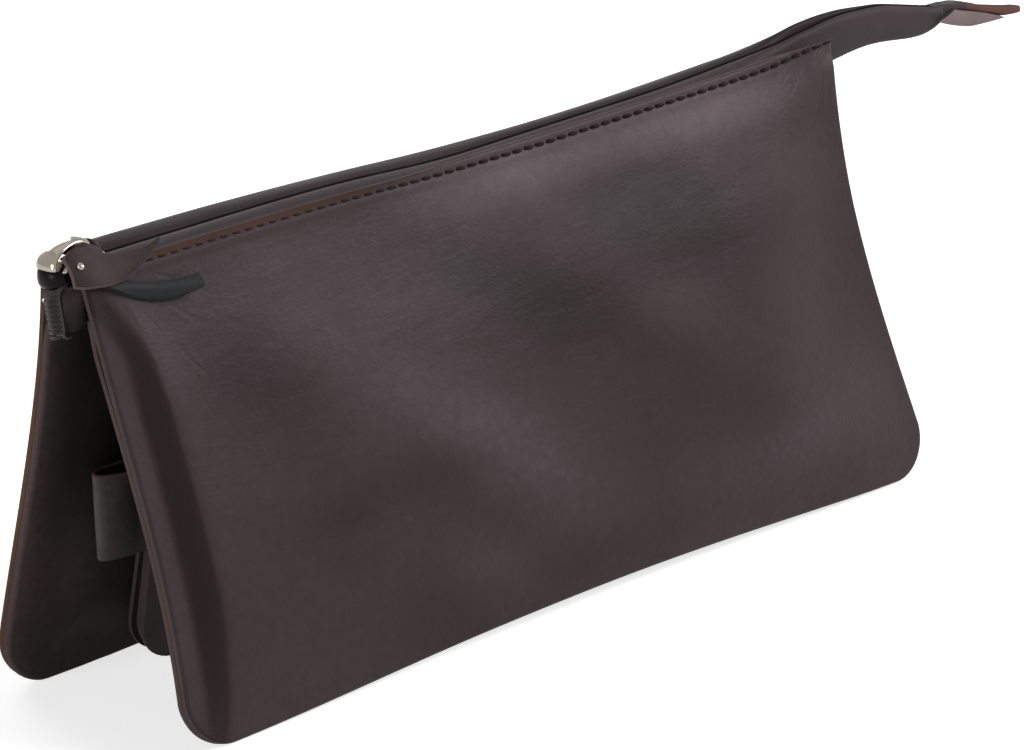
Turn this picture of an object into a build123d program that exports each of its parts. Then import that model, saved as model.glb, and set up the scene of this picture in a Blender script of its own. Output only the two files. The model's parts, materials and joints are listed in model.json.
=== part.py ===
"""A zipped leather saddle pouch that stands as an upturned V, with a tool wallet held between its lobes.

Millimetres, +Z up, the zip along X with its closed end at -X, the front lobe towards -Y.
The origin is the centre of the bounding box's base.
"""
from build123d import *
import os
from math import cos, radians, sin

# ---- leather and thread ----
leather = 1.4              # panels of the lobes
glue = 0.05                # half the glue line between two panels
facing_leather = 1.4       # strips beside the zip
ridge_leather = 1.2        # strip over the divider's fold
thong_leather = 1.2        # thong of the zip pull
band_leather = 1.0         # keeper band
wallet_leather = 0.9       # each side of the wallet
gap = 0.3                  # air between soft pieces that move apart

# ---- lobes: two flat pockets that hang from the zip ----
lobe_tilt = 14.4           # degrees from upright, each lobe
hinge_y = 4.6              # half the width of the top, at the stitched seams
top_half = 93.3            # half the lobe's length at its top seam
waist_half = 90.3          # half its length at the waist
foot_half = 94.2           # half its length at the foot
waist_drop = 33.0          # from the seam down to the waist
lobe_drop = 83.9           # from the seam down the slope to the lowest corner
foot_rise = 2.6            # how far the foot's middle lifts above its corners
foot_trim = 1.0            # flattened where the corners stand
corner_radius = 11.0
lap = 2.2                  # panel above its seam line
seam_allowance = 3.5       # flat rim where two panels are joined
flank = 13.0               # from the rim to the full swell
outer_swell = 5.0          # how far the outer panel stands off the rim's plane
inner_swell = 3.0          # the same for the inner panel
shoulder = 25.0            # from the seam down to the outer panel's full swell
divider_drop = 5.2         # from the seam line down to the inner panel's top

# ---- zip ----
slit_rise = 3.4            # top of the facings at the slit, above the seam line
slit_half = 0.95           # half the slit, as wide as the slider's post needs
facing_half = 3.1          # from the middle to a facing's outer edge
facing_fall = 0.8          # how far a facing slopes down over its width
zip_overhang = 3.0         # closed end of tapes and coils, past the seam's end
mouth_inset = 13.3         # open end of the coils, short of the seam's other end
slider_overhang = 0.4      # parked slider, past the tapes' closed end
slider_room = 0.7          # between the parked slider and the facings
tape_thick = 0.5
tape_half = 2.8
coil_wide = 2.0
coil_tall = 2.2
stop_long = 2.4
ridge_half = 3.0
zip_end_half = 3.0         # half the width of the tape that turns down at the closed end
zip_end_reach = 1.8        # how far the turned end stands out past the tapes
zip_end_drop = 10.0        # its lowest point, below the seam line
zip_end_turn = 2.0         # height of its foot, which turns back under
zip_end_hook = 2.0         # and how far
end_tooth_count = 9
end_tooth_start = 2.0      # below the tape's middle
end_tooth_pitch = 0.95
end_tooth_long = 4.0
end_tooth_thick = 0.6

# ---- tail: the facings run on as an upright fin, ending in a leather tab ----
fin_beyond = 0.7           # where the facings stand upright, past the seam's end
crest_beyond = 7.7         # where the fin stands highest
crest_rise = 7.0           # its top there, above the seam line
fin_long = 35.0            # from where it is upright to the tab
fin_end_rise = 2.9         # its top at the tab, above the seam line
fin_foot_fall = 1.4        # its lower edge, below the seam line
fin_gap = 0.05             # from the middle to each facing's inner face
tab_long = 24.0
tab_half = 2.4
tab_fall = 2.9             # the tab's end, below the seam line
tab_thick = 2.0

# ---- slider ----
slider_long = 10.6
slider_half = 3.9
slider_plate = 1.2
slider_clear = 0.4
post_long = 4.0
post_half = 0.75
crown_inner = 1.9
crown_thick = 1.0
crown_half = 1.1
pivot_rise = 1.3           # pull's pivot above the top plate
spring_thick = 0.4

# ---- pull: a thong looped through the crown, both ends lying to the right ----
eye_radius = 0.9
arm_half = 0.6
arm_reach = 1.6            # arms past the crown
yoke_long = 1.4            # bar between the arms' ends
thong_lean = 38.0          # degrees from upright
tail_out = 3.6             # the tails' top edge, out from the middle
tail_fall = 0.9            # and below the pivot
upper_tail_long = 12.5
upper_tail_wide = 8.0
lower_tail_long = 17.0
lower_tail_drop = 4.6      # its upper edge, below the tails' top edge
lower_tail_fall = 4.4      # how much lower that edge is at its tip
lower_tail_wide = 7.4      # from that edge's start down to its lowest point
pin_radius = 0.55
pin_long = 4.4

# ---- keeper band and wallet, between the lobes ----
band_half = 83.0
band_wide = 17.0
band_drop = 39.6           # from the seam line down to the band's top
wallet_half = 72.0
wallet_top = 22.0          # from the seam line down to the wallet's top
wallet_tall = 57.0
wallet_corner = 9.0
welt_wide = 4.0
slot_depth = 2.0           # room for the tools between the wallet's sides
tweezer_slot = 12.5        # width of the slot above the band
pusher_slot = 8.0          # width of the slot below the band
file_slot = 7.5            # width of the slot at the wallet's foot
band_divider = 3.0         # strips each side of the slot that the band shuts, which stays empty
foot_divider = 2.0         # strip between the pusher and the file
tool_thick = 1.6
tool_reach = 5.0           # how far the tools stand out of the wallet's mouth
file_long, file_half, file_tip = 124.0, 3.3, 0.8
pusher_long, shank_half, spade_half = 118.0, 1.8, 3.4
tweezer_long, tweezer_half, tweezer_tip, tweezer_arm = 96.0, 4.4, 0.9, 1.3
tweezer_head = 10.0        # solid end where the two arms join

# ---- stitches ----
stitch_pitch = 2.85
stitch_long = 2.0
stitch_wide = 0.7
stitch_thick = 0.5
stitch_rise = 0.5          # row above the seam line
tack_spread = 30.0         # between the band's tacks

# ---- places that follow from the sizes ----
seam_height = (lobe_drop - foot_trim) * cos(radians(lobe_tilt))
slit_height = seam_height + slit_rise
zip_left = -(top_half + zip_overhang)
zip_right = top_half - mouth_inset
slider_left = zip_left - slider_overhang
slider_right = slider_left + slider_long
facing_left = slider_right + slider_room
fin_start = top_half + fin_beyond
fin_crest = (top_half + crest_beyond, seam_height + crest_rise)
fin_end = (fin_start + fin_long, seam_height + fin_end_rise)
fin_foot = seam_height - fin_foot_fall
tab_end = fin_end[0] + fin_gap + tab_long
tab_top = seam_height - tab_fall
zip_end_foot = seam_height - zip_end_drop
tooth_stand_off = (tape_thick + end_tooth_thick) / 2 + 0.02
left_reach = -zip_left + zip_end_reach + tooth_stand_off + end_tooth_thick / 2
centre_shift = (left_reach - tab_end) / 2
tilt_sin, tilt_cos = sin(radians(lobe_tilt)), cos(radians(lobe_tilt))
facing_edge_height = slit_height - facing_fall
tape_top = facing_edge_height - facing_leather - gap / 3
tape_base = tape_top - tape_thick
coil_base = tape_base - coil_tall
lower_plate_top = coil_base - slider_clear
upper_plate_base = slit_height + slider_clear
ridge_base = seam_height - divider_drop + gap / 3
pivot_x = slider_left + slider_long / 2
pivot_z = upper_plate_base + slider_plate + pivot_rise
crown_outer = crown_inner + crown_thick
tail_start = (-tail_out, pivot_z - tail_fall)
wallet_foot = wallet_top + wallet_tall
tweezer_drops = (wallet_top + welt_wide, wallet_top + welt_wide + tweezer_slot)
file_drops = (wallet_foot - welt_wide - file_slot, wallet_foot - welt_wide)
pusher_drops = (file_drops[0] - foot_divider - pusher_slot, file_drops[0] - foot_divider)
empty_drops = (tweezer_drops[1] + band_divider, pusher_drops[0] - band_divider)
front_frame = Plane(origin=(0, -hinge_y, seam_height), x_dir=(1, 0, 0), z_dir=(0, -tilt_cos, tilt_sin))
back_frame = Plane(origin=(0, hinge_y, seam_height), x_dir=(1, 0, 0), z_dir=(0, -tilt_cos, -tilt_sin))

pieces = {}


def block(x_span, y_span, z_span):
    """A box between the given limits."""
    size = [high - low for low, high in (x_span, y_span, z_span)]
    middle = [(high + low) / 2 for low, high in (x_span, y_span, z_span)]
    return Pos(*middle) * Box(*size)


def ease(share):
    """A soft step from 0 to 1."""
    share = min(1.0, max(0.0, share))
    return share * share * (3 - 2 * share)


def lobe_half(drop):
    """Half the lobe's length at a drop below the seam: a parabola through top, waist and foot."""
    waist_slope = (waist_half - top_half) / waist_drop
    foot_slope = (foot_half - top_half) / lobe_drop
    bend = (foot_slope - waist_slope) / (lobe_drop - waist_drop)
    return top_half + (waist_slope - bend * waist_drop) * drop + bend * drop * drop


def lobe_outline(top_drop):
    """The lobe's outline in its own plane, from top_drop down, with waisted sides and round corners."""
    top = lobe_half(top_drop)
    with BuildSketch() as outline:
        with BuildLine():
            Line((-top, -top_drop), (top, -top_drop))
            ThreePointArc((top, -top_drop), (waist_half, -waist_drop), (foot_half, -lobe_drop))
            ThreePointArc((foot_half, -lobe_drop), (0, foot_rise - lobe_drop), (-foot_half, -lobe_drop))
            ThreePointArc((-foot_half, -lobe_drop), (-waist_half, -waist_drop), (-top, -top_drop))
        make_face()
        fillet(outline.vertices().sort_by(Axis.Y)[:2], corner_radius)
    return outline.sketch


def swell_sheet(swell, shoulder_drop):
    """The swollen inner face of a panel: flat at its rim, full in its middle."""
    overhang = 2.0
    columns, rows = 49, 25
    sheet = []
    for row in range(rows):
        drop = -lap - overhang + (lobe_drop + lap + 2 * overhang) * row / (rows - 1)
        line = []
        for column in range(columns):
            across = (lobe_half(drop) + overhang) * (2 * column / (columns - 1) - 1)
            side = ease((lobe_half(drop) - abs(across) - seam_allowance) / flank)
            foot = ease((lobe_drop - drop - seam_allowance) / flank)
            top = ease(drop / shoulder_drop) if shoulder_drop else 1.0
            line.append(Vector(across, -drop, glue + swell * side * foot * top))
        sheet.append(line)
    return Face.make_surface_from_array_of_points(sheet, tol=0.01, min_deg=3, max_deg=3)


def lobe_panel(swell, shoulder_drop, top_drop):
    """One leather panel of a lobe, in the lobe's frame, swollen towards +Z."""
    sheet = Solid.thicken(swell_sheet(swell, shoulder_drop), leather)
    reach = swell + 3 * leather
    return sheet & extrude(lobe_outline(top_drop), amount=reach, both=True)


def on_floor(shape):
    """The shape above the ground, with its foot cut flat."""
    ground = 2 * lobe_drop
    return shape - block((-ground, ground), (-ground, ground), (-ground, 0))


def mirrored(shape):
    return shape.mirror(Plane.XZ)


def add_lobes():
    outer = lobe_panel(outer_swell, shoulder, -lap)
    inner = lobe_panel(inner_swell, 0, divider_drop).mirror(Plane.XY)
    pieces["front_panel"] = on_floor(front_frame * outer)
    pieces["front_inner_panel"] = on_floor(front_frame * inner)
    pieces["back_panel"] = mirrored(pieces["front_panel"])
    pieces["back_inner_panel"] = mirrored(pieces["front_inner_panel"])


def add_seam_stitches():
    """A row of thread along each top seam, on the outer panel's face."""
    count = int((2 * top_half - 2 * seam_allowance) / stitch_pitch)
    bar = Box(stitch_long, stitch_wide, stitch_thick)
    bar = fillet(bar.edges().filter_by(Axis.Z), stitch_wide * 0.45)
    height = leather + glue + stitch_thick / 2 + 0.03
    row = [Pos((index - (count - 1) / 2) * stitch_pitch, stitch_rise, height) * bar for index in range(count)]
    pieces["front_seam_stitches"] = Compound([front_frame * stitch for stitch in row])
    pieces["back_seam_stitches"] = mirrored(pieces["front_seam_stitches"])


def facing_section(x, upper, lower, inside=None):
    """A facing's section at x: the line from upper to lower, with its thickness on the inside or straight down."""
    run = Vector(0, lower[0] - upper[0], lower[1] - upper[1]).normalized()
    inside = inside or Vector(0, -run.Z, run.Y) * facing_leather
    first, second = Vector(x, *upper), Vector(x, *lower)
    return Face(Wire.make_polygon([first, second, second + inside, first + inside]))


def add_facings():
    """Leather strips beside the slit, which turn upright and run on as the tail's fin."""
    fin_y = -fin_gap - facing_leather
    level_end = zip_right + stop_long + gap
    middle = (level_end + fin_start) / 2
    lip, edge = (-slit_half, slit_height), (-facing_half, facing_edge_height)
    sections = [
        facing_section(facing_left, lip, edge, Vector(0, 0, -facing_leather)),
        facing_section(level_end, lip, edge, Vector(0, 0, -facing_leather)),
        facing_section(middle, (-slit_half - 0.3, slit_height + 0.6), (-facing_half, facing_edge_height - 1.4)),
        facing_section(fin_start, (fin_y, fin_crest[1] - 0.9), (fin_y - 0.4, fin_foot + 0.7)),
        facing_section(fin_crest[0], (fin_y, fin_crest[1]), (fin_y, fin_foot)),
        facing_section((fin_crest[0] + fin_end[0]) / 2, (fin_y, fin_crest[1] - 1.3), (fin_y, fin_foot)),
        facing_section(fin_end[0], (fin_y, fin_end[1]), (fin_y, fin_foot)),
    ]
    spans = [loft([start, end], ruled=True) for start, end in zip(sections, sections[1:])]
    strip = spans[0]
    for span in spans[1:]:
        strip = strip + span
    pieces["front_facing"] = strip
    pieces["back_facing"] = mirrored(strip)


def add_tail_tab():
    """A leather tab folded over the end of the fin and pressed flat."""
    start = fin_end[0] + fin_gap
    near = Face(Wire.make_polygon([
        (start, -facing_leather - 0.4, fin_foot - 0.6), (start, facing_leather + 0.4, fin_foot - 0.6),
        (start, facing_leather + 0.4, fin_end[1] - 0.2), (start, -facing_leather - 0.4, fin_end[1] - 0.2)]))
    far = Face(Wire.make_polygon([
        (tab_end, -tab_half, tab_top - tab_thick), (tab_end, tab_half, tab_top - tab_thick),
        (tab_end, tab_half, tab_top), (tab_end, -tab_half, tab_top)]))
    tab = loft([near, far], ruled=True)
    fold = block((start, tab_end - leather), (-tab_half, tab_half), (-0.15, 0.15))
    middle_height = (fin_foot + fin_end[1] - 0.8) / 2
    fall = tab_top - tab_thick / 2 - middle_height
    slope = Plane(origin=(start, 0, middle_height), x_dir=(tab_end - start, 0, fall), z_dir=(-fall, 0, tab_end - start))
    pieces["tail_tab"] = tab - slope * Pos(-start, 0, 0) * fold


def add_zip():
    """Tapes and coils each side of the slit, the stops at the open end, and the strip over the ridge."""
    tape = block((zip_left, zip_right + stop_long), (-tape_half, -slit_half), (tape_base, tape_top))
    coil = block((zip_left, zip_right), (-slit_half - coil_wide, -slit_half), (coil_base, tape_base))
    coil = fillet(coil.edges().filter_by(Axis.X).group_by(Axis.Z)[0], coil_tall * 0.35)
    stop = block((zip_right, zip_right + stop_long), (-slit_half - coil_wide, -slit_half), (coil_base, tape_base))
    pieces["front_zip_tape"] = tape
    pieces["back_zip_tape"] = mirrored(tape)
    pieces["front_zip_coil"] = coil
    pieces["back_zip_coil"] = mirrored(coil)
    pieces["zip_stops"] = Compound([stop, mirrored(stop)])
    turned_face = zip_left - zip_end_reach + tape_thick / 2
    ridge = block((turned_face + glue, top_half - 1), (-ridge_half, ridge_half), (ridge_base, ridge_base + ridge_leather))
    pieces["ridge_strip"] = fillet(ridge.edges().filter_by(Axis.X), ridge_leather * 0.4)


def add_zip_end():
    """The zip's closed end, turned down over the end of the pouch, with the last teeth on it."""
    tape_middle = (tape_base + tape_top) / 2
    outside = zip_left - zip_end_reach
    with BuildLine(Plane.XZ) as path:
        FilletPolyline((zip_left, tape_middle), (outside, tape_middle), (outside, zip_end_foot + zip_end_turn),
                       (outside + zip_end_hook, zip_end_foot), radius=1.5)
    section = Plane(origin=path.line @ 0, z_dir=path.line % 0, x_dir=(0, 1, 0))
    pieces["zip_end_tape"] = sweep(section * Rectangle(2 * zip_end_half, tape_thick), path=path.line)
    tooth = Cylinder(end_tooth_thick / 2, end_tooth_long, rotation=(90, 0, 0))
    heights = [tape_middle - end_tooth_start - index * end_tooth_pitch for index in range(end_tooth_count)]
    pieces["zip_end_teeth"] = Compound([Pos(outside - tooth_stand_off, 0, height) * tooth for height in heights])


def add_slider():
    """Two plates joined by a post, with an arched crown on top that holds the thong."""
    plate_span = (slider_left, slider_right)
    side_span = (-slider_half, slider_half)
    upper = block(plate_span, side_span, (upper_plate_base, upper_plate_base + slider_plate))
    lower = block(plate_span, side_span, (lower_plate_top - slider_plate, lower_plate_top))
    upper = fillet(upper.edges().filter_by(Axis.Z), 2.4)
    lower = fillet(lower.edges().filter_by(Axis.Z), 2.4)
    post = block((slider_left + 0.6, slider_left + 0.6 + post_long), (-post_half, post_half),
                 (lower_plate_top, upper_plate_base))
    post = fillet(post.edges().filter_by(Axis.Z), post_half * 0.8)
    pieces["slider_body"] = upper + lower + post
    plate_top = upper_plate_base + slider_plate
    ring = Cylinder(crown_outer, 2 * crown_half, rotation=(90, 0, 0))
    ring = ring - Cylinder(crown_inner, 2 * crown_half + 1, rotation=(90, 0, 0))
    arch = Pos(pivot_x, 0, pivot_z) * ring
    legs = [block((pivot_x + side * (crown_inner + crown_outer) / 2 - crown_thick / 2,
                   pivot_x + side * (crown_inner + crown_outer) / 2 + crown_thick / 2),
                  (-crown_half, crown_half), (plate_top, pivot_z)) for side in (-1, 1)]
    above = block((pivot_x - 10, pivot_x + 10), (-5, 5), (pivot_z, pivot_z + 10))
    pieces["slider_crown"] = (arch & above) + legs[0] + legs[1]
    spring_half = crown_half - 0.3
    spring = block((pivot_x - crown_inner + 0.1, pivot_x + crown_inner - 0.1), (-spring_half, spring_half),
                   (plate_top, plate_top + spring_thick * 0.6))
    pieces["slider_lock_spring"] = spring


def add_pull():
    """A thong through the crown: an eye, two arms and two flat tails that lie to the right."""
    eye = Pos(pivot_x, 0, pivot_z) * Cylinder(eye_radius, 2 * (crown_half + gap + thong_leather), rotation=(90, 0, 0))
    arm_end = pivot_x + crown_outer + arm_reach
    height = (pivot_z - arm_half, pivot_z + arm_half)
    arm_in, arm_out = crown_half + gap, crown_half + gap + thong_leather
    thong = eye
    for side in (-1, 1):
        across = sorted((side * arm_in, side * arm_out))
        thong = thong + block((pivot_x, arm_end), across, height)
    yoke = block((arm_end - yoke_long, arm_end), (tail_start[0] - 1.6, arm_out), height)
    lean_sin, lean_cos = sin(radians(thong_lean)), cos(radians(thong_lean))
    tails = Plane(origin=(arm_end - yoke_long, tail_start[0], tail_start[1]), x_dir=(1, 0, 0),
                  z_dir=(0, -lean_cos, lean_sin))
    upper = extrude(make_face(Polyline(
        (0, 0.9), (upper_tail_long, 0.9), (upper_tail_long * 0.55, -upper_tail_wide),
        (1.5, -upper_tail_wide), (0, -upper_tail_wide * 0.5), close=True).edges()), amount=thong_leather)
    lower_base = -lower_tail_drop - lower_tail_wide
    lower = extrude(make_face(Polyline(
        (1.0, -lower_tail_drop), (lower_tail_long, -lower_tail_drop - lower_tail_fall),
        (lower_tail_long - 0.6, lower_base), (lower_tail_long * 0.5, lower_base), (1.0, lower_base + 3.4),
        close=True).edges()), amount=thong_leather)
    thong = thong + yoke + tails * Pos(0, 0, thong_leather) * upper + tails * lower
    pin_place = tails * Pos(1.0, -1.5, 0)
    pin = pin_place * Cylinder(pin_radius, pin_long)
    pieces["thong_pull"] = thong - pin
    pieces["thong_pin"] = pin & (tails * Pos(1.0, -1.5, thong_leather * 1.2) * Cylinder(pin_radius * 2, pin_long * 0.7))


def add_band():
    """A flat loop of leather sewn to the back lobe's inner panel, which holds the wallet."""
    depth = inner_swell + leather + glue + gap
    room = slot_depth + 2 * wallet_leather + 2 * gap
    outside = room + 2 * band_leather
    loop = SlotOverall(2 * band_half, outside) - SlotOverall(2 * band_half - 2 * band_leather, room)
    loop = extrude(loop, amount=band_wide)
    stand = Plane(origin=(0, -band_drop - band_wide, depth + outside / 2), x_dir=(1, 0, 0), z_dir=(0, 1, 0))
    pieces["keeper_band"] = back_frame * (stand * loop)
    thread = gap * 0.7
    bar = Box(stitch_long, stitch_wide, thread)
    middle = -band_drop - band_wide / 2
    tacks = [place * tack_spread + half * stitch_pitch / 2 for place in (-1, 0, 1) for half in (-1, 1)]
    spots = [(x, middle + side * band_wide * 0.3) for x in tacks for side in (-1, 1)]
    stitches = [back_frame * (Pos(x, y, depth - thread / 2) * bar) for x, y in spots]
    pieces["keeper_stitches"] = Compound(stitches)
    return depth + band_leather + gap


def wallet_side(depth):
    """One leather side of the wallet, with round corners at its closed end."""
    with BuildSketch() as outline:
        Rectangle(2 * wallet_half, wallet_tall)
        fillet(outline.vertices().sort_by(Axis.X)[:2], wallet_corner)
    middle = -wallet_top - wallet_tall / 2
    return Pos(0, middle, depth) * extrude(outline.sketch, amount=wallet_leather)


def add_wallet(depth):
    """Two sides, a welt round three edges and three dividers, open at the right for the tools."""
    inner = depth + wallet_leather
    pieces["wallet_back"] = back_frame * wallet_side(depth)
    pieces["wallet_front"] = back_frame * wallet_side(inner + slot_depth)
    middle = -wallet_top - wallet_tall / 2
    with BuildSketch() as frame:
        Rectangle(2 * wallet_half, wallet_tall)
        fillet(frame.vertices().sort_by(Axis.X)[:2], wallet_corner)
        with Locations((welt_wide, 0)):
            Rectangle(2 * wallet_half, wallet_tall - 2 * welt_wide, mode=Mode.SUBTRACT)
    pieces["wallet_welt"] = back_frame * (Pos(0, middle, inner) * extrude(frame.sketch, amount=slot_depth))
    slots = (tweezer_drops, empty_drops, pusher_drops, file_drops)
    strips = []
    for above, below in zip(slots, slots[1:]):
        strip = Box(2 * wallet_half - 2 * welt_wide, below[0] - above[1], slot_depth)
        strips.append(back_frame * (Pos(0, -(above[1] + below[0]) / 2, inner + slot_depth / 2) * strip))
    pieces["wallet_dividers"] = Compound(strips)
    return inner + slot_depth / 2


def add_tools(depth):
    """Three slim steel tools, each in its own slot of the wallet, with their ends out of its mouth."""
    end = wallet_half + tool_reach

    def placed(profile, slot):
        return back_frame * (Pos(0, -sum(slot) / 2, depth - tool_thick / 2) * extrude(profile, amount=tool_thick))

    with BuildSketch() as file_shape:
        with BuildLine():
            Polyline((end, file_half), (end - file_long * 0.75, file_half), (end - file_long, file_tip),
                     (end - file_long, -file_tip), (end - file_long * 0.75, -file_half), (end, -file_half),
                     close=True)
        make_face()
        fillet(file_shape.vertices().sort_by(Axis.X)[-2:], file_half * 0.8)
    pieces["nail_file"] = placed(file_shape.sketch, file_drops)

    with BuildSketch() as pusher_shape:
        with Locations((end - pusher_long / 2, 0)):
            Rectangle(pusher_long - 2 * spade_half, 2 * shank_half)
        with Locations((end - pusher_long + spade_half, 0)):
            Circle(spade_half)
        with Locations((end - spade_half * 1.2, 0)):
            SlotOverall(spade_half * 2.4, spade_half * 1.6)
    pieces["cuticle_pusher"] = placed(pusher_shape.sketch, pusher_drops)

    tip, head = end - tweezer_long, end - tweezer_head
    bend = end - tweezer_long * 0.7
    inner_half = tweezer_half - tweezer_arm
    with BuildSketch() as tweezer_shape:
        with BuildLine():
            Polyline((end, tweezer_half * 0.6), (head, tweezer_half), (bend, tweezer_half),
                     (tip, tweezer_tip + tweezer_arm * 0.4), (tip, tweezer_tip - tweezer_arm * 0.5),
                     (bend, inner_half), (head, inner_half), (head + tweezer_arm * 1.5, 0), (end, 0), close=True)
        make_face()
        mirror(about=Plane.XZ)
    pieces["tweezers"] = placed(tweezer_shape.sketch, tweezer_drops)


add_lobes()
add_seam_stitches()
add_facings()
add_tail_tab()
add_zip()
add_zip_end()
add_slider()
add_pull()
add_tools(add_wallet(add_band()))

os.makedirs("parts", exist_ok=True)
for name, shape in pieces.items():
    export_step(Pos(centre_shift, 0, 0) * shape, f"parts/{name}.step")
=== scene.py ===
"""Looks of a zipped leather saddle pouch with a manicure tool wallet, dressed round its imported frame.

Metres, +Z up. The pouch stands as an upturned V: two leather lobes hang from one zip, which runs along X.
Points on the pouch are written in millimetres from the lobes' middle, and the makers below turn them into
metres.
"""
import json
from math import cos, pi, radians, sin, sqrt

import bmesh
import bpy
import numpy as np
from mathutils import Matrix, Vector
from mathutils.kdtree import KDTree


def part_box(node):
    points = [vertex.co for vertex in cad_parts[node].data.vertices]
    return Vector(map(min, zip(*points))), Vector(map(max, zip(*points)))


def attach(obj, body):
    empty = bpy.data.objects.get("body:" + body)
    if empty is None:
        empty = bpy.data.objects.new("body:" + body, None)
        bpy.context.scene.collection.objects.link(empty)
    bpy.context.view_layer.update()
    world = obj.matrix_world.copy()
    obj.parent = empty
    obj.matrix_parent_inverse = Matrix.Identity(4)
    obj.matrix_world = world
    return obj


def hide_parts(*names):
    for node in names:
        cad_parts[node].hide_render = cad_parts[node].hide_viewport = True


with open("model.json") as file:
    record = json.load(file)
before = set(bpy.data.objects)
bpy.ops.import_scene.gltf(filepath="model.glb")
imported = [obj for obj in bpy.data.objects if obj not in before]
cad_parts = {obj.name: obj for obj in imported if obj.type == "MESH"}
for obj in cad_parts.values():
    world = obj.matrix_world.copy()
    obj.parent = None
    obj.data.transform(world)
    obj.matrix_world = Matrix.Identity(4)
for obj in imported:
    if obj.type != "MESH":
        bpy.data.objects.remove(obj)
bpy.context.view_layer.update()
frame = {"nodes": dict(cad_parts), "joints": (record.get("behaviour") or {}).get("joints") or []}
mm = 0.001

# ---- Studio ----
# A white table and a white room. A large soft lamp stands at the right and a weaker one behind the back lobe,
# with small ones above and beyond the closed end. The camera faces that end's corner and leans a little.
lobe_low, lobe_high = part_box("front_panel")
lobe_middle = (lobe_low.x + lobe_high.x) / 2
table_half, table_drop = 4.0, 0.1 * mm
table_colour, table_glow = (0.82, 0.82, 0.82, 1), 0.7
room_fill = 0.05
lamp_aim_height = 40 * mm
sensor_width = 36.0


def wire(tree, node, settings):
    """Sets a shader node's inputs to values, or joins them to the outputs of other nodes."""
    for key, value in settings.items():
        if isinstance(value, bpy.types.NodeSocket):
            tree.links.new(value, node.inputs[key])
        else:
            node.inputs[key].default_value = value


def shader(tree, kind, settings):
    node = tree.nodes.new("ShaderNode" + kind)
    wire(tree, node, settings)
    return node


def reckoned(tree, operation, *values):
    """One step of arithmetic between numbers and the outputs of other nodes."""
    node = shader(tree, "Math", dict(enumerate(values)))
    node.operation = operation
    return node.outputs[0]


def in_view(tree):
    """1 for the rays that come from the camera or a mirroring surface, and 0 for those that bring light."""
    rays = shader(tree, "LightPath", {}).outputs
    return reckoned(tree, "MAXIMUM", rays["Is Camera Ray"], rays["Is Glossy Ray"])


def placed(name, data):
    """A new object in the scene."""
    made = bpy.data.objects.new(name, data)
    bpy.context.scene.collection.objects.link(made)
    return made


def white_table():
    """A pale matt table that keeps the pouch's shadow and shows white to the camera."""
    finish = bpy.data.materials.new("table_white")
    finish.use_nodes = True
    tree = finish.node_tree
    tree.nodes.clear()
    paint = shader(tree, "BsdfDiffuse", {"Color": table_colour})
    glow = shader(tree, "Emission", {"Strength": reckoned(tree, "MULTIPLY", in_view(tree), table_glow)})
    both = shader(tree, "AddShader", {0: paint.outputs[0], 1: glow.outputs[0]})
    shader(tree, "OutputMaterial", {0: both.outputs[0]})
    mesh = bpy.data.meshes.new("table")
    corners = [(-1, -1), (1, -1), (1, 1), (-1, 1)]
    mesh.from_pydata([(x * table_half, y * table_half, -table_drop) for x, y in corners], [], [(0, 1, 2, 3)])
    mesh.materials.append(finish)
    placed("table", mesh)


def white_room():
    """A room that is white where it is seen or mirrored, and lights the pouch only a little."""
    room = bpy.data.worlds.new("white_room")
    room.use_nodes = True
    tree = room.node_tree
    tree.nodes.clear()
    glow = shader(tree, "Background", {"Strength": reckoned(tree, "MAXIMUM", in_view(tree), room_fill)})
    shader(tree, "OutputWorld", {0: glow.outputs[0]})
    bpy.context.scene.world = room


def soft_lamp(name, towards, distance, size, watts):
    """A square lamp that faces the pouch from the given direction."""
    data = bpy.data.lights.new(name, "AREA")
    data.size, data.energy = size, watts
    lamp = placed(name, data)
    direction = Vector(towards).normalized()
    lamp.location = Vector((lobe_middle, 0, lamp_aim_height)) + direction * distance
    lamp.rotation_euler = direction.to_track_quat("Z", "Y").to_euler()


def studio_camera(turn, tip, roll, aim, distance, lens):
    """A camera that looks at a point of the pouch, turned from the front, tipped down and rolled."""
    ahead = Vector((-sin(turn) * cos(tip), cos(turn) * cos(tip), -sin(tip)))
    level = Vector((cos(turn), sin(turn), 0))
    upright = level.cross(ahead)
    right = level * cos(roll) - upright * sin(roll)
    up = level * sin(roll) + upright * cos(roll)
    data = bpy.data.cameras.new("camera")
    data.lens, data.sensor_width = lens, sensor_width
    data.clip_start, data.clip_end = 0.01, 50
    camera = placed("camera", data)
    turned = Matrix((right, up, -ahead)).transposed().to_4x4()
    camera.matrix_world = Matrix.Translation(Vector(aim) - ahead * distance) @ turned
    bpy.context.scene.camera = camera


white_table()
white_room()
soft_lamp("lamp_right", (0.66, -0.62, 0.56), 2.2, 1.2, 53.0)
soft_lamp("lamp_above", (0.1, 0.3, 1.0), 1.3, 0.9, 0.9)
soft_lamp("lamp_back", (0.35, 1.0, 0.5), 2.0, 1.2, 16.0)
soft_lamp("lamp_left", (-1.0, 0.0, 0.2), 1.6, 0.7, 11.0)
studio_camera(radians(-43.118), radians(18.215), radians(3.0),
              (lobe_middle + 9.831 * mm, 0, 36.924 * mm), 1.02297, 193.36)
bpy.context.scene.view_settings.view_transform = "Standard"


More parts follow.
